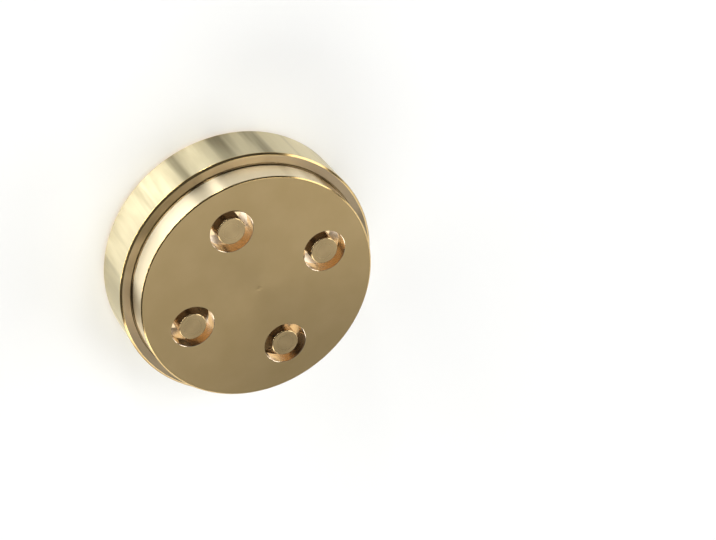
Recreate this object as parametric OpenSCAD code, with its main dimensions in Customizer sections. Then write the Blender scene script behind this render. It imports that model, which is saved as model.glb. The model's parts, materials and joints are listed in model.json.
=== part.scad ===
// Pasta extrusion die: a stepped brass disc with a ring of annular outlets that press dough into tubes.
// The back face lies on z = 0, the axis is +Z, and the dough leaves through the front face at the top.

/* [Body] */
// Diameter of the flange
flange_d = 53; // [50:0.5:70]
// Thickness of the flange
flange_t = 10.9; // [9:0.1:16]
// Width of the shoulder, which a ring nut clamps
shoulder_w = 2.35; // [1.2:0.05:3]
// Height of the front disc above the shoulder
nose_h = 5.5; // [4:0.1:8]
// Chamfer round both rims of the flange
rim_chamfer = 0.4; // [0.1:0.05:0.6]
// Chamfer round the rim of the front face
face_chamfer = 0.25; // [0.1:0.05:0.6]
// Bevel left in the corner where the front disc rises from the shoulder
root_bevel = 0.4; // [0.1:0.05:0.6]
// Diameter of the mark that the facing tool leaves at the centre of the front face
centre_mark_d = 1.2; // [0.5:0.1:3]
// Depth of the centre mark
centre_mark_depth = 0.08; // [0.02:0.01:0.3]

/* [Outlets] */
// Number of outlets, each with its own core
outlet_count = 4; // [2:1:6]
// Diameter of the circle through the outlet centres
outlet_pcd = 29.8; // [28:0.1:32]
// Diameter of an outlet, which sets the outside of the dough tube
outlet_d = 8.8; // [7.5:0.1:10]
// Length of the straight land behind the front face
outlet_land = 3.2; // [2:0.1:6]
// Diameter of the dough chamber behind the land
chamber_d = 12; // [11:0.1:12.8]
// Half angle of the throat cone that the drill leaves between the chamber and the land, in degrees
throat_angle = 60; // [45:1:70]

/* [Core inserts] */
// Diameter of a core, which sets the inside of the dough tube
core_d = 5.6; // [4:0.1:7]
// Chamfer round the front end of a core
core_chamfer = 0.15; // [0.05:0.05:0.4]
// Number of wings that carry a core
wing_count = 3; // [2:1:4]
// Width of a wing across the flow
wing_w = 2.2; // [1.4:0.1:3]
// Depth of a wing along the flow
wing_h = 4; // [2.5:0.1:5]
// Bevel along the inlet edges of a wing
wing_bevel = 0.6; // [0.2:0.1:0.9]
// Depth of the wings below the back face
wing_recess = 2; // [1:0.1:3]
// Diameter of the blunt tip of the inlet cone
tip_d = 2; // [1:0.1:3.5]
// Depth of the blunt tip below the back face
tip_recess = 0.2; // [0.1:0.1:0.9]
// Diameter of the seat that the wings are pressed into
seat_d = 14; // [13:0.1:15]
// Chamfer round the mouth of the seat
seat_chamfer = 0.6; // [0.2:0.1:0.8]
// Gap between the tip of a wing and the wall of its seat
seat_gap = 0.02; // [0.01:0.01:0.05]

/* [Hidden] */
function core_name(i) = str("core_insert_", i);
$fn = 96;

brass = "#b89f6b";
core_brass = "#a9946a";
// How far a cutting shape runs past the faces that it cuts
overrun = 1;

flange_r = flange_d / 2;
nose_r = flange_r - shoulder_w;
outlet_r = outlet_d / 2;
chamber_r = chamber_d / 2;
core_r = core_d / 2;
seat_r = seat_d / 2;
// The front face, the ledge under the wings and the two ends of the throat cone
face_z = flange_t + nose_h;
ledge_z = wing_recess + wing_h;
land_z = face_z - outlet_land;
throat_z = land_z - (chamber_r - outlet_r) / tan(throat_angle);

// Half section of the solid disc, from the back face up its stepped rim to the front face
die_section = [
    [0, 0],
    [flange_r - rim_chamfer, 0],
    [flange_r, rim_chamfer],
    [flange_r, flange_t - rim_chamfer],
    [flange_r - rim_chamfer, flange_t],
    [nose_r + root_bevel, flange_t],
    [nose_r, flange_t + root_bevel],
    [nose_r, face_z - face_chamfer],
    [nose_r - face_chamfer, face_z],
    [centre_mark_d / 2, face_z],
    [0, face_z - centre_mark_depth]
];

// Half section of one bore: seat, ledge, chamber, throat cone and land
bore_section = [
    [0, -overrun],
    [seat_r + seat_chamfer + overrun, -overrun],
    [seat_r, seat_chamfer],
    [seat_r, ledge_z],
    [chamber_r, ledge_z],
    [chamber_r, throat_z],
    [outlet_r, land_z],
    [outlet_r, face_z + overrun],
    [0, face_z + overrun]
];

// Half section of one core: inlet cone, stem and flush front end
core_section = [
    [0, tip_recess],
    [tip_d / 2, tip_recess],
    [core_r, wing_recess],
    [core_r, face_z - core_chamfer],
    [core_r - core_chamfer, face_z],
    [0, face_z]
];

// Section of a wing across the flow: flat where it seats, bevelled where the dough meets it
wing_section = [
    [-wing_w / 2, ledge_z],
    [-wing_w / 2, wing_recess + wing_bevel],
    [-wing_w / 2 + wing_bevel, wing_recess],
    [wing_w / 2 - wing_bevel, wing_recess],
    [wing_w / 2, wing_recess + wing_bevel],
    [wing_w / 2, ledge_z]
];

// Places its children at outlet i, with their +X pointing away from the die's axis
module at_outlet(i) {
    rotate([0, 0, (i - 1) * 360 / outlet_count])
        translate([outlet_pcd / 2, 0, 0])
            children();
}

// The wings of one insert, trimmed round to fit the seat
module wings() {
    intersection() {
        cylinder(r = seat_r - seat_gap, h = face_z);
        for (k = [1:wing_count])
            rotate([0, 0, k * 360 / wing_count])
                rotate([90, 0, 90])
                    linear_extrude(seat_r)
                        polygon(wing_section);
    }
}

// The turned disc with its stepped bores
module die_body() {
    color(brass)
        difference() {
            rotate_extrude()
                polygon(die_section);
            for (i = [1:outlet_count])
                at_outlet(i)
                    rotate_extrude()
                        polygon(bore_section);
        }
}

// A core with the wings that carry it, pressed into its seat from behind
module core_insert(i) {
    color(core_brass)
        at_outlet(i)
            union() {
                rotate_extrude()
                    polygon(core_section);
                wings();
            }
}

die_body();
for (i = [1:outlet_count])
    core_insert(i);
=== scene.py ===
# %% [markdown]
# # Pasta extrusion die
# The real thing is a turned brass disc with four ring-shaped outlets. Dough is pressed in from the back,
# flows round a core that stands in each outlet, and leaves through the ring gap in the front face.
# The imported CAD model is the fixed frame. It gives every size and place, and this lesson dresses it:
# turned edges, facing marks, polished and satin brass, a pale floor, soft light and a camera.

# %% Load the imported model
import json
import math

import bmesh
import bpy
from mathutils import Matrix, Vector


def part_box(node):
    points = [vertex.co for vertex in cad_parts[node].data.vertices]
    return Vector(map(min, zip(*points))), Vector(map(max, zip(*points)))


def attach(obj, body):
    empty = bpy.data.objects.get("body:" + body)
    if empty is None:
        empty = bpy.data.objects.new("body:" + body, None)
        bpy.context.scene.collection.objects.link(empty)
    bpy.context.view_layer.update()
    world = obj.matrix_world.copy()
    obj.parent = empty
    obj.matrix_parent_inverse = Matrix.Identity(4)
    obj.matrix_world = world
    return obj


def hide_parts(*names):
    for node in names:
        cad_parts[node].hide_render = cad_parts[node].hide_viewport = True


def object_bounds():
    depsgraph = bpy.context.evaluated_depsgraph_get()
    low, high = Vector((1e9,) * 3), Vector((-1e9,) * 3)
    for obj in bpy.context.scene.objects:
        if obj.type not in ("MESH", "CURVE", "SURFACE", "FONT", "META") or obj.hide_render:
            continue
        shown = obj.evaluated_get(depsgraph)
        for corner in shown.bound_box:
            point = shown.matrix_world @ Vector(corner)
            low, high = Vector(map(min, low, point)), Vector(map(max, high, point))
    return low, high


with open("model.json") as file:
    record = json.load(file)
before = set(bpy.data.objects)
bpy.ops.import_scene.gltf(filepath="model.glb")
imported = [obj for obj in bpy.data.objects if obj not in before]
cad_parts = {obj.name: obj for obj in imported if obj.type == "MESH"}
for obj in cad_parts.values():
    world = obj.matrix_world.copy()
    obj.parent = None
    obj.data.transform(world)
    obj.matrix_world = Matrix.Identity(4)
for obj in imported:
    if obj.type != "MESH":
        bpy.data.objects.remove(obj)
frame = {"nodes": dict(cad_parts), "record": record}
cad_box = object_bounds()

MM = 0.001
print("CAD box in mm:", [round(c / MM, 2) for corner in cad_box for c in corner])

# %% [markdown]
# ## Sizes
# A dressed piece has to sit exactly where its solid is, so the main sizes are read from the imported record
# and from the boxes of its nodes. The rest are the die's own sizes in millimetres, named once here.

# %% Sizes of the die
mounts = {m["name"]: m for m in frame["record"]["mounts"]}
flange_r = mounts["flange_rim"]["dims"]["r_mm"]
nose_r = mounts["nose"]["dims"]["r_mm"]
shoulder_z = mounts["shoulder"]["pos_m"][2] / MM
face_z = cad_box[1].z / MM
rim_chamfer, face_chamfer, root_r = 0.4, 0.25, 0.4
outlet_r, outlet_land, chamber_r, throat_angle = 4.4, 3.2, 6.0, math.radians(60)
seat_r, seat_chamfer, seat_gap = 7.0, 0.6, 0.02
core_r, core_chamfer, tip_r, tip_z = 2.8, 0.15, 1.0, 0.2
wing_count, wing_w, wing_h, wing_z, wing_bevel = 3, 2.2, 4.0, 2.0, 0.6
mark_r, mark_depth, mouth_lip = 0.6, 0.03, 0.06
land_z, ledge_z = face_z - outlet_land, wing_z + wing_h
throat_z = land_z - (chamber_r - outlet_r) / math.tan(throat_angle)
inserts = sorted(name for name in frame["nodes"] if name.startswith("core_insert_"))
pitch_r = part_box(inserts[0])[1].x / MM - (seat_r - seat_gap)
print(f"flange r {flange_r}, nose r {nose_r}, face at {face_z:.2f}, outlets on r {pitch_r:.2f} mm")

# %% [markdown]
# ## Three small tools for node trees
# Every tree here, for shapes and for finishes, is built with one function that adds a node, applies its
# settings and fills its inputs with values or links. A second one starts a geometry tree with named inputs.
# A third one runs such a tree on an object and keeps the result as a plain mesh, which any program can read.

# %% Node tools
def add(tree, kind, inputs=None, **settings):
    """Adds one node with its settings, and fills its inputs with values or links."""
    node = tree.nodes.new(kind)
    for name, value in settings.items():
        setattr(node, name, value)
    for key, value in (inputs or {}).items():
        if isinstance(value, bpy.types.NodeSocket):
            tree.links.new(value, node.inputs[key])
        else:
            node.inputs[key].default_value = value
    return node


def start_tree(name, sockets):
    """Starts a geometry tree with named inputs, and returns it with its inputs and its end node."""
    tree = bpy.data.node_groups.new(name, "GeometryNodeTree")
    for label, kind in sockets.items():
        tree.interface.new_socket(label, in_out="INPUT", socket_type=kind)
    tree.interface.new_socket("Result", in_out="OUTPUT", socket_type="NodeSocketGeometry")
    return tree, add(tree, "NodeGroupInput").outputs, add(tree, "NodeGroupOutput")


def run_tree(obj, tree, values):
    """Runs a tree on an object with the given inputs, and leaves the result as its plain mesh."""
    modifier = obj.modifiers.new(tree.name, "NODES")
    modifier.node_group = tree
    for item in tree.interface.items_tree:
        if item.in_out == "INPUT" and item.name in values:
            modifier[item.identifier] = values[item.name]
    graph = bpy.context.evaluated_depsgraph_get()
    mesh = bpy.data.meshes.new_from_object(
        obj.evaluated_get(graph), preserve_all_data_layers=True, depsgraph=graph
    )
    obj.modifiers.clear()
    obj.data = mesh
    mesh.name = obj.name


print("node tools ready")

# %% [markdown]
# ## Sections
# A lathe makes a shape by turning, so each turned piece starts as a half section: a row of corners from
# the top of its axis to the bottom. Sharp CAD corners never catch a highlight, while a real cut edge does,
# so the outer corners get a small radius. A guard point beside each rounding keeps the flat next to it flat
# when it is shaded smooth.

# %% Half sections
# How far the guard point lies from the rounding, in mm, and how many steps a rounding has
GUARD, ROUNDING_STEPS = 0.04, 5


def rounded(corners):
    """Turns (radius from the axis, height, rounding) corners into the points of a section, in mm."""
    points = []
    for i, (r, z, rounding) in enumerate(corners):
        here = Vector((r, z))
        if not rounding:
            points.append(here)
            continue
        back = (Vector(corners[i - 1][:2]) - here).normalized()
        ahead = (Vector(corners[i + 1][:2]) - here).normalized()
        half = back.angle(ahead) / 2
        reach = rounding / math.tan(half)
        centre = here + (back + ahead).normalized() * rounding / math.sin(half)
        first, last = here + back * reach - centre, here + ahead * reach - centre
        sweep = first.angle_signed(last)
        points.append(here + back * (reach + GUARD))
        for k in range(ROUNDING_STEPS + 1):
            points.append(centre + Matrix.Rotation(-sweep * k / ROUNDING_STEPS, 2) @ first)
        points.append(here + ahead * (reach + GUARD))
    return points


def section_object(name, points):
    """Makes a section's points an object, with the radius along X and the height along Z."""
    mesh = bpy.data.meshes.new(name)
    edges = [(i, i + 1) for i in range(len(points) - 1)]
    mesh.from_pydata([(r * MM, 0, z * MM) for r, z in points], edges, [])
    obj = bpy.data.objects.new(name, mesh)
    bpy.context.scene.collection.objects.link(obj)
    return obj


print("section tools ready")

# %% [markdown]
# The disc's section runs from a small mark in the middle of its face, out over the step and down to its back.
# A bore's section is what the drills and reamers take away, so it reaches past both faces, and its corners
# stay sharp. A core's section runs from its flush front end to the tip that parts the dough.

# %% The three sections
# Radii of the rounded corners, and how far a bore's section reaches past the faces, in mm
mark_round, face_round, rim_round = 0.5, 0.12, 0.15
core_round, tip_round = 0.06, 0.2
past = 1
disc_corners = [
    (0, face_z - mark_depth, 0),
    (mark_r, face_z, mark_round),
    (nose_r - face_chamfer, face_z, face_round),
    (nose_r, face_z - face_chamfer, face_round),
    (nose_r, shoulder_z, root_r),
    (flange_r - rim_chamfer, shoulder_z, rim_round),
    (flange_r, shoulder_z - rim_chamfer, rim_round),
    (flange_r, rim_chamfer, rim_round),
    (flange_r - rim_chamfer, 0, rim_round),
    (0, 0, 0),
]
bore_corners = [
    (0, face_z + past, 0),
    (outlet_r + mouth_lip + past, face_z + past, 0),
    (outlet_r, face_z - mouth_lip, 0),
    (outlet_r, land_z, 0),
    (chamber_r, throat_z, 0),
    (chamber_r, ledge_z, 0),
    (seat_r, ledge_z, 0),
    (seat_r, seat_chamfer, 0),
    (seat_r + seat_chamfer + past, -past, 0),
    (0, -past, 0),
]
core_corners = [
    (0, face_z, 0),
    (core_r - core_chamfer, face_z, core_round),
    (core_r, face_z - core_chamfer, core_round),
    (core_r, wing_z, tip_round),
    (tip_r, tip_z, tip_round),
    (0, tip_z, 0),
]
disc_points, bore_points, core_points = map(rounded, (disc_corners, bore_corners, core_corners))
print("section points:", len(disc_points), "disc,", len(bore_points), "bore,", len(core_points), "core")

# %% [markdown]
# ## The lathe
# Turning is a rule, so it is a Geometry Nodes group and not a table of points. A grid has one row for each
# section point and one column for each step round the axis. Each grid point looks up its section point and
# swings it round by its column's angle. The seam and the points on the axis are then merged, so the shape
# is closed. The sections run from the top down, which makes the faces point outwards.

# %% The lathe group
# Points closer together than this, in metres, are one point
WELD = 1e-7
lathe, given, result = start_tree("Lathe", {"Section": "NodeSocketGeometry", "Steps": "NodeSocketInt"})
count = add(lathe, "GeometryNodeAttributeDomainSize", {"Geometry": given["Section"]}, component="MESH")
columns = add(lathe, "ShaderNodeMath", {0: given["Steps"], 1: 1}, operation="ADD").outputs[0]
grid = add(lathe, "GeometryNodeMeshGrid", {"Vertices X": count.outputs["Point Count"], "Vertices Y": columns})
index = add(lathe, "GeometryNodeInputIndex").outputs[0]
ratio = add(lathe, "ShaderNodeMath", {0: index, 1: columns}, operation="DIVIDE").outputs[0]
row = add(lathe, "ShaderNodeMath", {0: ratio}, operation="FLOOR").outputs[0]
column = add(lathe, "ShaderNodeMath", {0: index, 1: columns}, operation="MODULO").outputs[0]
step = add(lathe, "ShaderNodeMath", {0: math.tau, 1: given["Steps"]}, operation="DIVIDE").outputs[0]
angle = add(lathe, "ShaderNodeMath", {0: column, 1: step}, operation="MULTIPLY").outputs[0]
place = add(lathe, "GeometryNodeInputPosition").outputs[0]
corner = add(
    lathe,
    "GeometryNodeSampleIndex",
    {"Geometry": given["Section"], "Value": place, "Index": row},
    data_type="FLOAT_VECTOR",
)
swung = add(
    lathe, "ShaderNodeVectorRotate", {"Vector": corner.outputs[0], "Angle": angle}, rotation_type="Z_AXIS"
).outputs[0]
turned = add(lathe, "GeometryNodeSetPosition", {"Geometry": grid.outputs["Mesh"], "Position": swung})
closed = add(lathe, "GeometryNodeMergeByDistance", {"Geometry": turned.outputs[0], "Distance": WELD})
lathe.links.new(closed.outputs[0], result.inputs["Result"])
print("lathe group:", len(lathe.nodes), "nodes")

# %% [markdown]
# ## Edges
# Both kinds of piece are shaded smooth round the axis, but an edge that a tool left stays crisp. A small
# group marks every edge that is sharper than a given angle, and both pieces use it.

# %% The edge group
CRISP_ANGLE = math.radians(30)
crisp, given, result = start_tree(
    "Crisp edges", {"Mesh": "NodeSocketGeometry", "Sharper than": "NodeSocketFloat"}
)
bend = add(crisp, "GeometryNodeInputMeshEdgeAngle").outputs["Unsigned Angle"]
sharp = add(
    crisp, "FunctionNodeCompare", {0: bend, 1: given["Sharper than"]}, operation="GREATER_THAN"
).outputs[0]
smooth = add(crisp, "GeometryNodeSetShadeSmooth", {0: given["Mesh"], "Shade Smooth": True}, domain="FACE")
edged = add(
    crisp,
    "GeometryNodeSetShadeSmooth",
    {0: smooth.outputs[0], "Selection": sharp, "Shade Smooth": False},
    domain="EDGE",
)
crisp.links.new(edged.outputs[0], result.inputs["Result"])
print("edge group:", len(crisp.nodes), "nodes")

# %% [markdown]
# ## Brass
# Everything here is brass, a yellow metal. Metal has no colour of its own under its shine: the base colour
# tints what it mirrors, and the roughness says how much that blurs. A turned surface has fine grooves that
# run round the axis, so its reflection spreads across them. That is anisotropy, and its direction is worked
# out from each point's place round the axis, which stays right wherever the die lies.

# %% Brass tools
# Where most values of a noise lie, where most sums of two noises lie, and over which values a patch fades in:
# the low and the high end that a map range starts from
ONE_NOISE, TWO_NOISES, PATCH = {1: 0.3, 2: 0.7}, {1: 0.6, 2: 1.4}, {1: 0.5, 2: 0.66}


def srgb(text):
    """Turns an sRGB hex colour into the linear colour that a shader takes."""
    parts = [int(text[i : i + 2], 16) / 255 for i in (1, 3, 5)]
    return (*[c / 12.92 if c <= 0.04045 else ((c + 0.055) / 1.055) ** 2.4 for c in parts], 1)


def start_brass(name, roughness, anisotropy):
    """Starts a brass finish, and returns it with its node tree and its shader."""
    material = bpy.data.materials.new(name)
    material.use_nodes = True
    tree = material.node_tree
    tree.nodes.clear()
    metal = {"Metallic": 1.0, "Roughness": roughness}
    # A quarter turn lays the spread of the reflection across the grooves
    grooves = {"Anisotropic": anisotropy, "Anisotropic Rotation": 0.25}
    shader = add(tree, "ShaderNodeBsdfPrincipled", metal | grooves)
    add(tree, "ShaderNodeOutputMaterial", {"Surface": shader.outputs[0]})
    return material, tree, shader


def turn_grain(tree, shader, place):
    """Lays the grain of a finish round the axis of its place, and returns the distance from that axis."""
    grain = add(tree, "ShaderNodeVectorMath", {0: (0, 0, 1), 1: place}, operation="CROSS_PRODUCT")
    tree.links.new(grain.outputs[0], shader.inputs["Tangent"])
    return add(tree, "ShaderNodeVectorMath", {0: grain.outputs[0]}, operation="LENGTH").outputs["Value"]


print("burnished brass in linear light:", [round(c, 3) for c in srgb("#c0a470")[:3]])

# %% [markdown]
# ### Faced brass
# The front face, the shoulder and the back were cut flat on a lathe and left with a satin finish. The eye
# gets a soft golden sheen that fades slowly across the face, and faint rings from the facing tool. A ring
# depends on one number, the distance from the axis, so a noise in one dimension draws the rings.

# %% Faced brass: rings
faced, tree, shader = start_brass("Brass, faced satin", 0.3, 0.35)
place = add(tree, "ShaderNodeTexCoord").outputs["Object"]
radius = turn_grain(tree, shader, place)
# Tool rings 0.1 mm apart would be too fine to show here, so they are drawn about 0.6 mm apart
rings = add(
    tree, "ShaderNodeTexNoise", {"W": radius, "Scale": 1 / (0.6 * MM), "Detail": 2.0}, noise_dimensions="1D"
).outputs[0]
# Grain of the surface, in specks of about 0.3 mm
specks = add(tree, "ShaderNodeTexNoise", {"Vector": place, "Scale": 1 / (0.3 * MM), "Detail": 2.0}).outputs[0]
# 1 where the ring nut presses on the shoulder and the barrel on the back, which leaves the brass duller.
# Painted shade darkens stretches there too.
pressed = add(tree, "ShaderNodeMapRange", {0: radius, 1: nose_r * MM, 2: (nose_r + 0.3) * MM}).outputs[0]
uneven = add(tree, "ShaderNodeMath", {0: rings, 1: specks}, operation="ADD").outputs[0]
rough = add(tree, "ShaderNodeMapRange", {0: uneven, **TWO_NOISES, 3: 0.28, 4: 0.33}).outputs[0]
dulled = add(tree, "ShaderNodeMath", {0: pressed, 1: 0.05, 2: rough}, operation="MULTIPLY_ADD").outputs[0]
tree.links.new(dulled, shader.inputs["Roughness"])
relief = add(tree, "ShaderNodeBump", {"Height": rings, "Strength": 0.15, "Distance": 0.002 * MM}).outputs[0]
tree.links.new(relief, shader.inputs["Normal"])
print("rings and grain of:", faced.name)

# %% [markdown]
# The tone of a used face is not even. Dough and cleaning dull it in faint clouds. The shoulder and the edge of
# the back, which take the pressure, are browner, and some stretches of them are painted browner still as shade.
# A noise lays out these stretches, with a fixed seed as its fourth coordinate.

# %% Faced brass: tone
SHOULDER_SEED = 771.0
# Cloudy dulling in patches of about 7 mm
dulling = add(tree, "ShaderNodeTexNoise", {"Vector": place, "Scale": 1 / (7 * MM), "Detail": 3.0}).outputs[0]
face_tone = add(
    tree,
    "ShaderNodeMix",
    {"Factor": dulling, "A": srgb("#c2a774"), "B": srgb("#d4b988")},
    data_type="RGBA",
)
# Stretches of about 15 mm are painted browner still, as shade
stretches = add(
    tree,
    "ShaderNodeTexNoise",
    {"Vector": place, "W": SHOULDER_SEED, "Scale": 1 / (15 * MM), "Detail": 2.0},
    noise_dimensions="4D",
).outputs[0]
painted_shade = add(tree, "ShaderNodeMapRange", {0: stretches, **PATCH}).outputs[0]
# Painted shade: the browner stretches darken the shoulder and the back's edge
pressed_tone_and_painted_shade = add(
    tree,
    "ShaderNodeMix",
    {"Factor": painted_shade, "A": srgb("#bca98a"), "B": srgb("#80725a")},
    data_type="RGBA",
)
tone = add(
    tree,
    "ShaderNodeMix",
    {"Factor": pressed, "A": face_tone.outputs["Result"], "B": pressed_tone_and_painted_shade.outputs["Result"]},
    data_type="RGBA",
)
tree.links.new(tone.outputs["Result"], shader.inputs["Base Color"])
print("made", faced.name)

# %% [markdown]
# ### Burnished edges
# The turner breaks every outer edge with a narrow chamfer, and handling rubs it smooth. It is a small curved
# mirror, so the eye gets a thin dark or bright line along each edge and not a wide glow. The rounded root of
# the step has the same curve the other way round, and its colour is painted dark brown as shade in that crease.

# %% Burnished edges
burnished, tree, shader = start_brass("Brass, burnished edge", 0.16, 0.0)
place = add(tree, "ShaderNodeTexCoord").outputs["Object"]
height = add(tree, "ShaderNodeSeparateXYZ", {0: place}).outputs["Z"]
radius = turn_grain(tree, shader, place)
# 1 on the root of the step, where dark brown is painted as shade, and 0 on the chamfers above and outside it
low = add(tree, "ShaderNodeMapRange", {0: height, 1: (face_z - 1) * MM, 2: (face_z - 2) * MM}).outputs[0]
inner = add(
    tree, "ShaderNodeMapRange", {0: radius, 1: (flange_r - 1) * MM, 2: (flange_r - 1.5) * MM}
).outputs[0]
painted_root_shade = add(tree, "ShaderNodeMath", {0: low, 1: inner}, operation="MULTIPLY").outputs[0]
# Painted shade: the root of the step is coloured dark brown
tone = add(
    tree,
    "ShaderNodeMix",
    {"Factor": painted_root_shade, "A": srgb("#c0a470"), "B": srgb("#5a4a30")},
    data_type="RGBA",
)
tree.links.new(tone.outputs["Result"], shader.inputs["Base Color"])
print("made", burnished.name)

# %% [markdown]
# ### Polished brass
# The two rims were polished on the lathe. Fine lines run round them, so a lamp beside the die shows as a tall
# soft streak. Pressing the die into its head left a second set of marks along the axis of the flange, which
# break its streaks up sideways. The front disc's rim only slides in the ring nut, so it has no such marks, and
# its streak is cleaner and brighter.

# %% Polished brass: lines and marks
polished, tree, shader = start_brass("Brass, turned and polished", 0.36, 0.94)
place = add(tree, "ShaderNodeTexCoord").outputs["Object"]
radius = turn_grain(tree, shader, place)
height = add(tree, "ShaderNodeSeparateXYZ", {0: place}).outputs["Z"]
# 1 on the front disc's rim and 0 on the flange's
slid = add(
    tree, "ShaderNodeMapRange", {0: radius, 1: (nose_r + 0.5) * MM, 2: (nose_r + 0.2) * MM}
).outputs[0]
# Lines of the tool about 0.25 mm apart, wider than the real ones so that they show
lines = add(
    tree, "ShaderNodeTexNoise", {"W": height, "Scale": 1 / (0.25 * MM), "Detail": 3.0}, noise_dimensions="1D"
).outputs[0]
# Marks along the axis, about 1 mm wide and drawn out to 8 mm
drawn_out = add(tree, "ShaderNodeVectorMath", {0: place, 1: (1, 1, 0.125)}, operation="MULTIPLY").outputs[0]
marks = add(
    tree, "ShaderNodeTexNoise", {"Vector": drawn_out, "Scale": 1 / (1 * MM), "Detail": 4.0}
).outputs[0]
wear = add(tree, "ShaderNodeMath", {0: lines, 1: marks}, operation="ADD").outputs[0]
rough = add(tree, "ShaderNodeMapRange", {0: wear, **TWO_NOISES, 3: 0.3, 4: 0.42}).outputs[0]
smoothed = add(tree, "ShaderNodeMix", {"Factor": slid, "A": rough, "B": 0.3}).outputs["Result"]
tree.links.new(smoothed, shader.inputs["Roughness"])
grooved = add(tree, "ShaderNodeMath", {0: slid, 1: 0.06, 2: 0.94}, operation="MULTIPLY_ADD").outputs[0]
tree.links.new(grooved, shader.inputs["Anisotropic"])
relief = add(tree, "ShaderNodeBump", {"Height": lines, "Strength": 0.3, "Distance": 0.002 * MM}).outputs[0]
marked = add(tree, "ShaderNodeMath", {0: slid, 1: -1.0, 2: 1.0}, operation="MULTIPLY_ADD").outputs[0]
relief = add(
    tree, "ShaderNodeBump", {"Height": marks, "Strength": marked, "Distance": 0.03 * MM, "Normal": relief}
).outputs[0]
tree.links.new(relief, shader.inputs["Normal"])
print("lines and marks of:", polished.name)

# %% [markdown]
# On the flange, dark streaks along the axis are painted reflections. The front disc's rim is rubbed pale,
# apart from broad stretches painted golden brown as reflection. Both come from noise that is drawn out along
# the axis, with fixed seeds, and `slid` picks the right tone for each rim.

# %% Polished brass: painted reflections
# Seeds that place the painted reflections on the flange and the front disc's rim
FLANGE_SEED, FRONT_SEED = 179.0, 530.0
stretched = add(tree, "ShaderNodeVectorMath", {0: place, 1: (1, 1, 0.06)}, operation="MULTIPLY").outputs[0]
flange_tone = add(
    tree,
    "ShaderNodeMix",
    {"Factor": marks, "A": srgb("#c4b996"), "B": srgb("#dad0b0")},
    data_type="RGBA",
)
# Painted reflection on the flange: dark streaks about 5 mm wide
patches = add(
    tree,
    "ShaderNodeTexNoise",
    {"Vector": stretched, "W": FLANGE_SEED, "Scale": 1 / (5 * MM), "Detail": 3.0},
    noise_dimensions="4D",
).outputs[0]
painted_reflection_streaks = add(tree, "ShaderNodeMapRange", {0: patches, **PATCH, 3: 0.0, 4: 0.75}).outputs[0]
# Painted reflection: the flange turns dark in these streaks
flange_tone = add(
    tree,
    "ShaderNodeMix",
    {"Factor": painted_reflection_streaks, "A": flange_tone.outputs["Result"], "B": srgb("#6b6148")},
    data_type="RGBA",
)
# Painted reflection on the front disc's rim: golden brown stretches about 12 mm wide
stretches = add(
    tree,
    "ShaderNodeTexNoise",
    {"Vector": stretched, "W": FRONT_SEED, "Scale": 1 / (12 * MM), "Detail": 2.0},
    noise_dimensions="4D",
).outputs[0]
painted_reflection_stretches = add(tree, "ShaderNodeMapRange", {0: stretches, **PATCH}).outputs[0]
# Painted reflection: the front disc's rim turns golden brown in these stretches
front_tone = add(
    tree,
    "ShaderNodeMix",
    {"Factor": painted_reflection_stretches, "A": srgb("#ecdfc0"), "B": srgb("#8f7448")},
    data_type="RGBA",
)
tone = add(
    tree,
    "ShaderNodeMix",
    {"Factor": slid, "A": flange_tone.outputs["Result"], "B": front_tone.outputs["Result"]},
    data_type="RGBA",
)
tree.links.new(tone.outputs["Result"], shader.inputs["Base Color"])
print("made", polished.name)

# %% [markdown]
# ### Bored brass
# The outlets, chambers and seats were drilled and reamed, and the sides of the cores and their wings were
# finished as smooth. The dough scours what it is pressed through, so the brass is pale in front of the ledge of
# the seat, and light that bounces in a ring gap more than once turns coppery. Behind it the brass keeps its
# yellow.

# %% Bored brass
bored, tree, shader = start_brass("Brass, bored and reamed", 0.2, 0.0)
place = add(tree, "ShaderNodeTexCoord").outputs["Object"]
height = add(tree, "ShaderNodeSeparateXYZ", {0: place}).outputs["Z"]
# Reamer lines about 0.4 mm apart
lines = add(
    tree, "ShaderNodeTexNoise", {"W": height, "Scale": 1 / (0.4 * MM), "Detail": 2.0}, noise_dimensions="1D"
).outputs[0]
scoured_tone = add(
    tree,
    "ShaderNodeMix",
    {"Factor": lines, "A": srgb("#e8d4b8"), "B": srgb("#f0dec6")},
    data_type="RGBA",
)
# 1 in front of the ledge and 0 behind it
scoured = add(
    tree, "ShaderNodeMapRange", {0: height, 1: (ledge_z - 0.5) * MM, 2: (ledge_z + 1) * MM}
).outputs[0]
tone = add(
    tree,
    "ShaderNodeMix",
    {"Factor": scoured, "A": srgb("#dac39a"), "B": scoured_tone.outputs["Result"]},
    data_type="RGBA",
)
tree.links.new(tone.outputs["Result"], shader.inputs["Base Color"])
rough = add(tree, "ShaderNodeMapRange", {0: lines, **ONE_NOISE, 3: 0.14, 4: 0.26}).outputs[0]
tree.links.new(rough, shader.inputs["Roughness"])
print("made", bored.name)

# %% [markdown]
# ### Core brass
# The cores are turned from bar. Their front ends are faced like the disc, so the eye gets the same sheen, but
# each has its rings round its own axis. A core stands off the middle of the die, so its tree stores where each
# point lay on its own axis, and the finish reads that attribute.

# %% Core brass
core_brass, tree, shader = start_brass("Brass, turned core", 0.28, 0.4)
place = add(tree, "ShaderNodeAttribute", attribute_name="own_axis").outputs["Vector"]
radius = turn_grain(tree, shader, place)
# Facing rings about 0.5 mm apart, wider than the real ones so that they show
rings = add(
    tree, "ShaderNodeTexNoise", {"W": radius, "Scale": 1 / (0.5 * MM), "Detail": 2.0}, noise_dimensions="1D"
).outputs[0]
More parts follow.
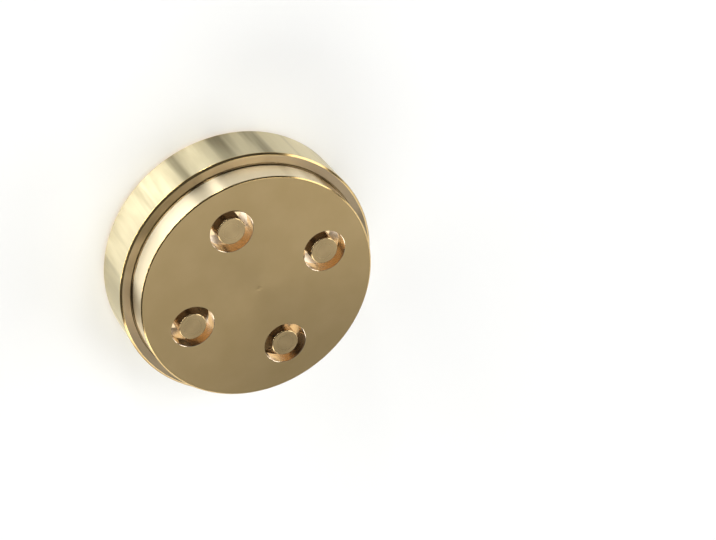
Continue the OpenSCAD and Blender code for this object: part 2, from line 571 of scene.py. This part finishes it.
# Dulling in patches of about 2 mm
dulling = add(tree, "ShaderNodeTexNoise", {"Vector": place, "Scale": 1 / (2 * MM), "Detail": 3.0}).outputs[0]
tone = add(
    tree,
    "ShaderNodeMix",
    {"Factor": dulling, "A": srgb("#c9ae7e"), "B": srgb("#d0b688")},
    data_type="RGBA",
)
tree.links.new(tone.outputs["Result"], shader.inputs["Base Color"])
rough = add(tree, "ShaderNodeMapRange", {0: rings, **ONE_NOISE, 3: 0.25, 4: 0.33}).outputs[0]
tree.links.new(rough, shader.inputs["Roughness"])
relief = add(tree, "ShaderNodeBump", {"Height": rings, "Strength": 0.3, "Distance": 0.002 * MM}).outputs[0]
tree.links.new(relief, shader.inputs["Normal"])
print("made", core_brass.name)

# %% [markdown]
# ## The disc
# On the bench the disc is turned first and bored afterwards, and the tree does the same. The lathe makes the
# stepped blank, a second lathe makes the shape of one bore, a ring of points places it once for each outlet,
# and a boolean cuts them out.

# %% The disc's tree: turning and boring
DISC_STEPS, BORE_STEPS = 240, 128
disc_tree, given, result = start_tree(
    "Bored disc",
    {
        "Section": "NodeSocketGeometry",
        "Bore section": "NodeSocketObject",
        "Steps": "NodeSocketInt",
        "Outlets": "NodeSocketInt",
        "Pitch radius": "NodeSocketFloat",
        "Bore radius": "NodeSocketFloat",
        "Rim radius": "NodeSocketFloat",
        "Face height": "NodeSocketFloat",
        "Sharper than": "NodeSocketFloat",
        "Faced": "NodeSocketMaterial",
        "Burnished": "NodeSocketMaterial",
        "Polished": "NodeSocketMaterial",
        "Bored": "NodeSocketMaterial",
    },
)
blank = add(disc_tree, "GeometryNodeGroup", node_tree=lathe)
disc_tree.links.new(given["Section"], blank.inputs["Section"])
disc_tree.links.new(given["Steps"], blank.inputs["Steps"])
bore_line = add(disc_tree, "GeometryNodeObjectInfo", {"Object": given["Bore section"]})
cutter = add(disc_tree, "GeometryNodeGroup", node_tree=lathe)
disc_tree.links.new(bore_line.outputs["Geometry"], cutter.inputs["Section"])
cutter.inputs["Steps"].default_value = BORE_STEPS
axes = add(
    disc_tree, "GeometryNodeMeshCircle", {"Vertices": given["Outlets"], "Radius": given["Pitch radius"]}
)
cutters = add(
    disc_tree, "GeometryNodeInstanceOnPoints", {"Points": axes.outputs[0], "Instance": cutter.outputs[0]}
)
drilled = add(
    disc_tree,
    "GeometryNodeMeshBoolean",
    {"Mesh 1": blank.outputs[0], "Mesh 2": cutters.outputs[0]},
    operation="DIFFERENCE",
    solver="MANIFOLD",
)
edged = add(disc_tree, "GeometryNodeGroup", node_tree=crisp)
disc_tree.links.new(drilled.outputs["Mesh"], edged.inputs["Mesh"])
disc_tree.links.new(given["Sharper than"], edged.inputs["Sharper than"])
real = add(disc_tree, "GeometryNodeRealizeInstances", {"Geometry": edged.outputs[0]})
print("disc tree so far:", len(disc_tree.nodes), "nodes")

# %% [markdown]
# Each face gets its finish by where it lies and how it stands, so the finishes hold when a size changes. What
# is near an outlet's axis and between the two flat faces is bored. Of the rest, what stands upright on the
# outside is a polished rim, what leans there is a burnished edge, and what lies flat is faced.

# %% The disc's tree: finishes
# How much of a face's normal lies along the axis: an upright face has less than the first, a flat one more
# than the second
UPRIGHT, FLAT = 0.15, 0.99
# What lies this close to the level of the front or the back, in mm, is not in a bore
FACE_SKIN = 0.005
spot = add(disc_tree, "GeometryNodeInputPosition").outputs[0]
level = add(disc_tree, "ShaderNodeVectorMath", {0: spot, 1: (1, 1, 0)}, operation="MULTIPLY").outputs[0]
near = add(
    disc_tree, "GeometryNodeProximity", {0: axes.outputs[0], "Sample Position": level}, target_element="POINTS"
)
in_bore = add(
    disc_tree,
    "FunctionNodeCompare",
    {0: near.outputs["Distance"], 1: given["Bore radius"]},
    operation="LESS_THAN",
).outputs[0]
z = add(disc_tree, "ShaderNodeSeparateXYZ", {0: spot}).outputs["Z"]
mid = add(disc_tree, "ShaderNodeMath", {0: given["Face height"], 1: 0.5}, operation="MULTIPLY").outputs[0]
off_mid = add(disc_tree, "ShaderNodeMath", {0: z, 1: mid}, operation="SUBTRACT").outputs[0]
far_off = add(disc_tree, "ShaderNodeMath", {0: off_mid}, operation="ABSOLUTE").outputs[0]
limit = add(disc_tree, "ShaderNodeMath", {0: mid, 1: FACE_SKIN * MM}, operation="SUBTRACT").outputs[0]
between = add(disc_tree, "FunctionNodeCompare", {0: far_off, 1: limit}, operation="LESS_THAN").outputs[0]
inside = add(disc_tree, "FunctionNodeBooleanMath", {0: in_bore, 1: between}, operation="AND").outputs[0]

normal = add(disc_tree, "GeometryNodeInputNormal").outputs[0]
rise = add(disc_tree, "ShaderNodeSeparateXYZ", {0: normal}).outputs["Z"]
along = add(disc_tree, "ShaderNodeMath", {0: rise}, operation="ABSOLUTE").outputs[0]
upright = add(disc_tree, "FunctionNodeCompare", {0: along, 1: UPRIGHT}, operation="LESS_THAN").outputs[0]
out = add(disc_tree, "ShaderNodeVectorMath", {0: level}, operation="LENGTH").outputs["Value"]
outer = add(
    disc_tree, "FunctionNodeCompare", {0: out, 1: given["Rim radius"]}, operation="GREATER_THAN"
).outputs[0]
on_rim = add(disc_tree, "FunctionNodeBooleanMath", {0: upright, 1: outer}, operation="AND").outputs[0]
leaning = add(disc_tree, "FunctionNodeCompare", {0: along, 1: FLAT}, operation="LESS_THAN").outputs[0]
on_edge = add(disc_tree, "FunctionNodeBooleanMath", {0: leaning, 1: outer}, operation="AND").outputs[0]

coat = add(disc_tree, "GeometryNodeSetMaterial", {"Geometry": real.outputs[0], "Material": given["Faced"]})
for where, finish in ((on_edge, "Burnished"), (on_rim, "Polished"), (inside, "Bored")):
    painted = {"Geometry": coat.outputs[0], "Selection": where, "Material": given[finish]}
    coat = add(disc_tree, "GeometryNodeSetMaterial", painted)
disc_tree.links.new(coat.outputs[0], result.inputs["Result"])
print("disc tree:", len(disc_tree.nodes), "nodes")

# %% [markdown]
# The tree now runs on the disc's section. A closed shape has two faces at every edge, so counting the edges
# that don't is a quick test of the result, and its volume can be compared with the solid's.

# %% Make the disc
def measure(piece):
    """Prints a piece's triangles, its volume and how many edges don't close."""
    shape = bmesh.new()
    shape.from_mesh(piece.data)
    volume = shape.calc_volume(signed=True) / MM**3
    gaps = sum(not edge.is_manifold for edge in shape.edges)
    shape.free()
    triangles = sum(len(face.vertices) - 2 for face in piece.data.polygons)
    print(f"{piece.name}: {triangles} triangles, {volume:.1f} mm3, {gaps} open edges")


# How much farther than its bore, and than the front disc's rim, a finish looks, in mm
bore_margin, rim_margin = 0.05, 0.5
bore_section = section_object("bore_section", bore_points)
disc = section_object("die_disc", disc_points)
run_tree(
    disc,
    disc_tree,
    {
        "Bore section": bore_section,
        "Steps": DISC_STEPS,
        "Outlets": len(inserts),
        "Pitch radius": pitch_r * MM,
        "Bore radius": (seat_r + seat_chamfer + bore_margin) * MM,
        "Rim radius": (nose_r - rim_margin) * MM,
        "Face height": face_z * MM,
        "Sharper than": CRISP_ANGLE,
        "Faced": faced,
        "Burnished": burnished,
        "Polished": polished,
        "Bored": bored,
    },
)
bpy.data.objects.remove(bore_section)
measure(disc)

# %% [markdown]
# ## The core inserts
# Each insert is a turned core with three milled wings that hold it in its seat. The core comes from the
# same lathe group. One wing is a short bar, cut round at its end to fit the seat. Copies of it are set round
# the core and joined to it.

# %% The inserts' tree: core and wings
CORE_STEPS = 96
# The round cutter for the wings' ends only has to be longer than the die is thick
CUTTER_DEPTH = 40
core_tree, given, result = start_tree(
    "Core insert",
    {
        "Section": "NodeSocketGeometry",
        "Wing profile": "NodeSocketObject",
        "Steps": "NodeSocketInt",
        "Wings": "NodeSocketInt",
        "Wing reach": "NodeSocketFloat",
        "Pitch radius": "NodeSocketFloat",
        "Turn": "NodeSocketFloat",
        "Sharper than": "NodeSocketFloat",
        "Front above": "NodeSocketFloat",
        "Front": "NodeSocketMaterial",
        "Sides": "NodeSocketMaterial",
    },
)
stem = add(core_tree, "GeometryNodeGroup", node_tree=lathe)
core_tree.links.new(given["Section"], stem.inputs["Section"])
core_tree.links.new(given["Steps"], stem.inputs["Steps"])
profile = add(core_tree, "GeometryNodeObjectInfo", {"Object": given["Wing profile"]}).outputs["Geometry"]
outward = add(core_tree, "ShaderNodeCombineXYZ", {"X": given["Wing reach"]}).outputs[0]
pulled = add(core_tree, "GeometryNodeExtrudeMesh", {"Mesh": profile, "Offset": outward, "Individual": False})
foot = add(core_tree, "GeometryNodeFlipFaces", {"Mesh": profile})
bar = add(core_tree, "GeometryNodeJoinGeometry")
core_tree.links.new(pulled.outputs["Mesh"], bar.inputs[0])
core_tree.links.new(foot.outputs[0], bar.inputs[0])
bar = add(core_tree, "GeometryNodeMergeByDistance", {"Geometry": bar.outputs[0], "Distance": WELD})
seat = add(
    core_tree,
    "GeometryNodeMeshCylinder",
    {"Vertices": given["Steps"], "Radius": given["Wing reach"], "Depth": CUTTER_DEPTH * MM},
)
wing = add(
    core_tree,
    "GeometryNodeMeshBoolean",
    {"Mesh 2": bar.outputs[0]},
    operation="INTERSECT",
    solver="MANIFOLD",
)
core_tree.links.new(seat.outputs["Mesh"], wing.inputs["Mesh 2"])
spots = add(core_tree, "GeometryNodePoints", {"Count": given["Wings"]})
index = add(core_tree, "GeometryNodeInputIndex").outputs[0]
share = add(core_tree, "ShaderNodeMath", {0: math.tau, 1: given["Wings"]}, operation="DIVIDE").outputs[0]
angle = add(core_tree, "ShaderNodeMath", {0: index, 1: share}, operation="MULTIPLY").outputs[0]
spin = add(core_tree, "ShaderNodeCombineXYZ", {"Z": angle}).outputs[0]
wings = add(
    core_tree,
    "GeometryNodeInstanceOnPoints",
    {"Points": spots.outputs[0], "Instance": wing.outputs["Mesh"], "Rotation": spin},
)
joined = add(
    core_tree, "GeometryNodeMeshBoolean", {"Mesh 2": stem.outputs[0]}, operation="UNION", solver="MANIFOLD"
)
core_tree.links.new(wings.outputs[0], joined.inputs["Mesh 2"])
edged = add(core_tree, "GeometryNodeGroup", node_tree=crisp)
core_tree.links.new(joined.outputs["Mesh"], edged.inputs["Mesh"])
core_tree.links.new(given["Sharper than"], edged.inputs["Sharper than"])
print("insert tree so far:", len(core_tree.nodes), "nodes")

# %% [markdown]
# The insert is still on the middle axis, so this is the moment to store each point's place for its finish. Then
# it moves out to its outlet and turns with it. Only the front end is faced, and the rest takes the finish of
# the bores.

# %% The inserts' tree: place and finish
own = add(core_tree, "GeometryNodeInputPosition").outputs[0]
kept = add(
    core_tree,
    "GeometryNodeStoreNamedAttribute",
    {"Geometry": edged.outputs[0], "Name": "own_axis", "Value": own},
    data_type="FLOAT_VECTOR",
    domain="POINT",
)
shift = add(core_tree, "ShaderNodeCombineXYZ", {"X": given["Pitch radius"]}).outputs[0]
moved = add(core_tree, "GeometryNodeTransform", {"Geometry": kept.outputs[0], "Translation": shift})
turn = add(core_tree, "ShaderNodeCombineXYZ", {"Z": given["Turn"]}).outputs[0]
set_in = add(core_tree, "GeometryNodeTransform", {"Geometry": moved.outputs[0], "Rotation": turn})
real = add(core_tree, "GeometryNodeRealizeInstances", {"Geometry": set_in.outputs[0]})
coat = add(core_tree, "GeometryNodeSetMaterial", {"Geometry": real.outputs[0], "Material": given["Front"]})
z = add(core_tree, "ShaderNodeSeparateXYZ", {0: own}).outputs["Z"]
behind = add(
    core_tree, "FunctionNodeCompare", {0: z, 1: given["Front above"]}, operation="LESS_THAN"
).outputs[0]
coat = add(
    core_tree,
    "GeometryNodeSetMaterial",
    {"Geometry": coat.outputs[0], "Selection": behind, "Material": given["Sides"]},
)
core_tree.links.new(coat.outputs[0], result.inputs["Result"])
print("insert tree:", len(core_tree.nodes), "nodes")

# %% [markdown]
# A wing's profile is its cross section: flat where it meets the ledge, and bevelled where the dough comes from.
# The same tree makes all four inserts, each with its own turn.

# %% Make the inserts
# How far below a core's chamfer its faced front end stops, in mm
front_margin = 0.1
wing_profile = [
    (-wing_w / 2, ledge_z),
    (-wing_w / 2, wing_z + wing_bevel),
    (-wing_w / 2 + wing_bevel, wing_z),
    (wing_w / 2 - wing_bevel, wing_z),
    (wing_w / 2, wing_z + wing_bevel),
    (wing_w / 2, ledge_z),
]
wing_mesh = bpy.data.meshes.new("wing_profile")
wing_mesh.from_pydata([(0, y * MM, z * MM) for y, z in wing_profile], [], [range(len(wing_profile))])
wing_object = bpy.data.objects.new("wing_profile", wing_mesh)
bpy.context.scene.collection.objects.link(wing_object)
cores = []
for i in range(len(inserts)):
    core = section_object(f"core_{i + 1}", core_points)
    run_tree(
        core,
        core_tree,
        {
            "Wing profile": wing_object,
            "Steps": CORE_STEPS,
            "Wings": wing_count,
            "Wing reach": (seat_r - seat_gap) * MM,
            "Pitch radius": pitch_r * MM,
            "Turn": i * math.tau / len(inserts),
            "Sharper than": CRISP_ANGLE,
            "Front above": (face_z - core_chamfer - front_margin) * MM,
            "Front": core_brass,
            "Sides": bored,
        },
    )
    cores.append(core)
    measure(core)
bpy.data.objects.remove(wing_object)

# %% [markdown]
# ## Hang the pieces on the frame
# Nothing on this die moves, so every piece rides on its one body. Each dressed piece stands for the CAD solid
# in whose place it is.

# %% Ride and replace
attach(disc, "root")
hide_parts("die_body")
for core, name in zip(cores, inserts):
    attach(core, "root")
    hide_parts(name)

# %% [markdown]
# ## Floor
# The die lies on its back on plain white paper. The paper is mostly lit by the lamps, so it keeps the die's
# soft shadow. A small share of its white is added for what the camera, mirrors and glass see, so that the
# background stays white without more light on the brass.

# %% The paper
PAPER_SHARE = 0.1
# The paper's width in metres, and how far below the die it lies, so that the two don't share a plane
PAPER_SIZE, PAPER_GAP = 6, 0.02 * MM
paper = bpy.data.materials.new("Paper, matt white")
paper.use_nodes = True
tree = paper.node_tree
tree.nodes.clear()
matt = add(tree, "ShaderNodeBsdfDiffuse", {"Color": srgb("#f2f2f0")})
path = add(tree, "ShaderNodeLightPath")
seen = path.outputs["Is Camera Ray"]
for ray in ("Is Glossy Ray", "Is Transmission Ray"):
    seen = add(tree, "ShaderNodeMath", {0: seen, 1: path.outputs[ray]}, operation="MAXIMUM").outputs[0]
share = add(tree, "ShaderNodeMath", {0: seen, 1: PAPER_SHARE}, operation="MULTIPLY").outputs[0]
white = add(tree, "ShaderNodeEmission", {"Color": (1, 1, 1, 1), "Strength": share})
both = add(tree, "ShaderNodeAddShader", {0: matt.outputs[0], 1: white.outputs[0]})
add(tree, "ShaderNodeOutputMaterial", {"Surface": both.outputs[0]})
bpy.ops.mesh.primitive_plane_add(size=PAPER_SIZE, location=(0, 0, -PAPER_GAP))
floor = bpy.context.object
floor.name = "floor"
floor.data.materials.append(paper)
print("floor:", floor.dimensions.x, "m wide")

# %% [markdown]
# ## Light
# Polished metal shows its lamps, so each lamp is placed for what it does on the brass. A large softbox hangs
# overhead and ends where the face mirrors its edge, so that it shades the face from light to dark. The others
# stand round the die at one distance, like the lights of a product table. Two low strips on the left whiten the
# near rims, because the grooves spread a low light upwards. A narrow one beside them adds a thin streak. Three
# softboxes light the paper and the ends of the rims, and a high one reaches down into the outlets.

# %% Lamp tools
LAMP_DISTANCE = 1.4


def softbox(name, place, aim, size, radiance):
    """Adds a rectangular lamp that is aimed at a point and shows as an even panel of the given radiance."""
    data = bpy.data.lights.new(name, "AREA")
    data.shape = "RECTANGLE"
    data.size, data.size_y = size
    data.energy = radiance * math.pi * size[0] * size[1]
    lamp = bpy.data.objects.new(name, data)
    lamp.location = place
    lamp.rotation_euler = (Vector(place) - Vector(aim)).to_track_quat("Z", "Y").to_euler()
    lamp.visible_camera = False
    bpy.context.scene.collection.objects.link(lamp)
    return lamp


def bearing(azimuth, elevation, distance=LAMP_DISTANCE):
    """The point at a distance from the die, at an azimuth counted from +X and an elevation, in degrees."""
    a, e = math.radians(azimuth), math.radians(elevation)
    return Vector((math.cos(a) * math.cos(e), math.sin(a) * math.cos(e), math.sin(e))) * distance


die_middle = (0, 0, face_z / 2 * MM)
print("lamps stand", LAMP_DISTANCE, "m from the die")

# %% Lamps
OVERHEAD, OVERHEAD_HEIGHT, OVERHEAD_TURN = (-0.163, 0.219), 0.7, math.radians(-14)
OVERHEAD_SIZE, OVERHEAD_RADIANCE = (1.2, 0.6), 0.76
overhead = softbox(
    "softbox_overhead", (*OVERHEAD, OVERHEAD_HEIGHT), (*OVERHEAD, 0), OVERHEAD_SIZE, OVERHEAD_RADIANCE
)
overhead.rotation_euler = (0, 0, OVERHEAD_TURN)
# Azimuth and elevation in degrees, width and height in metres, and radiance
standing = {
    "strip_left": (-64, 5.5, (0.93, 0.26), 28),
    "strip_far_left": (-25, 5.5, (1.02, 0.26), 18),
    "strip_narrow": (-101, 8, (0.172, 0.38), 25),
    "softbox_front": (50, 21, (1.4, 0.96), 3.6),
    "softbox_right": (142, 20, (1.1, 0.9), 3.2),
    "softbox_far_right": (-172, 16, (0.6, 0.64), 3.2),
    "softbox_high": (-150, 55, (0.7, 0.5), 4),
}
for name, (azimuth, elevation, size, radiance) in standing.items():
    softbox(name, bearing(azimuth, elevation), die_middle, size, radiance)
print("standing lamps:", list(standing))

# %% [markdown]
# Some light also reaches the outlets from behind, up between the wings of each insert. A small lamp under each
# seat stands for it. Of the three gaps between the wings, it lies below the one nearest to the far side, where
# the camera sees down to it.

# %% Lamps under the seats
# Azimuth of the far side, in degrees
BEHIND = 105
# How far out from the core's axis and up from the back a lamp lies
SEAT_LAMP_OUT, SEAT_LAMP_UP = 4.8 * MM, 0.05 * MM
SEAT_LAMP_SIZE, SEAT_LAMP_RADIANCE = (9 * MM, 3 * MM), 1.45
wing_gap = 360 / wing_count
for i in range(len(inserts)):
    turn = i * 360 / len(inserts)
    clear = turn + wing_gap / 2 + wing_gap * round((BEHIND - turn - wing_gap / 2) / wing_gap)
    spot = bearing(turn, 0, pitch_r * MM) + bearing(clear, 0, SEAT_LAMP_OUT) + Vector((0, 0, SEAT_LAMP_UP))
    lamp = softbox(f"seat_light_{i + 1}", spot, spot + Vector((0, 0, 1)), SEAT_LAMP_SIZE, SEAT_LAMP_RADIANCE)
    lamp.rotation_euler = (math.pi, 0, math.radians(clear - 90))

# %% [markdown]
# The world is dim and nearly white. It only keeps what no lamp reaches from going black.

# %% World
WORLD_STRENGTH = 0.08
world = bpy.data.worlds.new("Studio")
world.use_nodes = True
sky = world.node_tree.nodes["Background"]
sky.inputs["Color"].default_value = srgb("#f4f6f8")
sky.inputs["Strength"].default_value = WORLD_STRENGTH
bpy.context.scene.world = world
print("world:", world.name, WORLD_STRENGTH)

# %% [markdown]
# ## Camera
# The photo's camera was found from the die itself: the ellipses of its face and rims and the places of its
# four outlets fix the direction, the distance and the lens. The camera is rolled, because the die was seen
# leaning while it lies flat here.

# %% The camera
CAMERA_PLACE = Vector((36.3505, -204.9753, 296.1458)) * MM
CAMERA_AIM = Vector((-19.5432, 8.2503, 16.4)) * MM
CAMERA_ROLL = math.radians(138.180)
SENSOR_WIDTH, FOCAL_LENGTH = 36, 89.58
NEAREST, FARTHEST = 0.01, 20
lens = bpy.data.cameras.new("photo_camera")
lens.sensor_width, lens.lens = SENSOR_WIDTH, FOCAL_LENGTH
lens.clip_start, lens.clip_end = NEAREST, FARTHEST
camera = bpy.data.objects.new("photo_camera", lens)
back = (CAMERA_PLACE - CAMERA_AIM).normalized()
level_right = Vector((0, 0, 1)).cross(back).normalized()
level_up = back.cross(level_right)
right = level_right * math.cos(CAMERA_ROLL) + level_up * math.sin(CAMERA_ROLL)
turn = Matrix((right, back.cross(right), back)).transposed()
camera.matrix_world = Matrix.Translation(CAMERA_PLACE) @ turn.to_4x4()
bpy.context.scene.collection.objects.link(camera)
bpy.context.scene.camera = camera
bpy.context.scene.view_settings.view_transform = "Standard"
print("camera to die:", round((CAMERA_PLACE - Vector(die_middle)).length / MM, 1), "mm")

# %% [markdown]
# Last, the scene is brought up to date.

# %% Finish
bpy.context.view_layer.update()
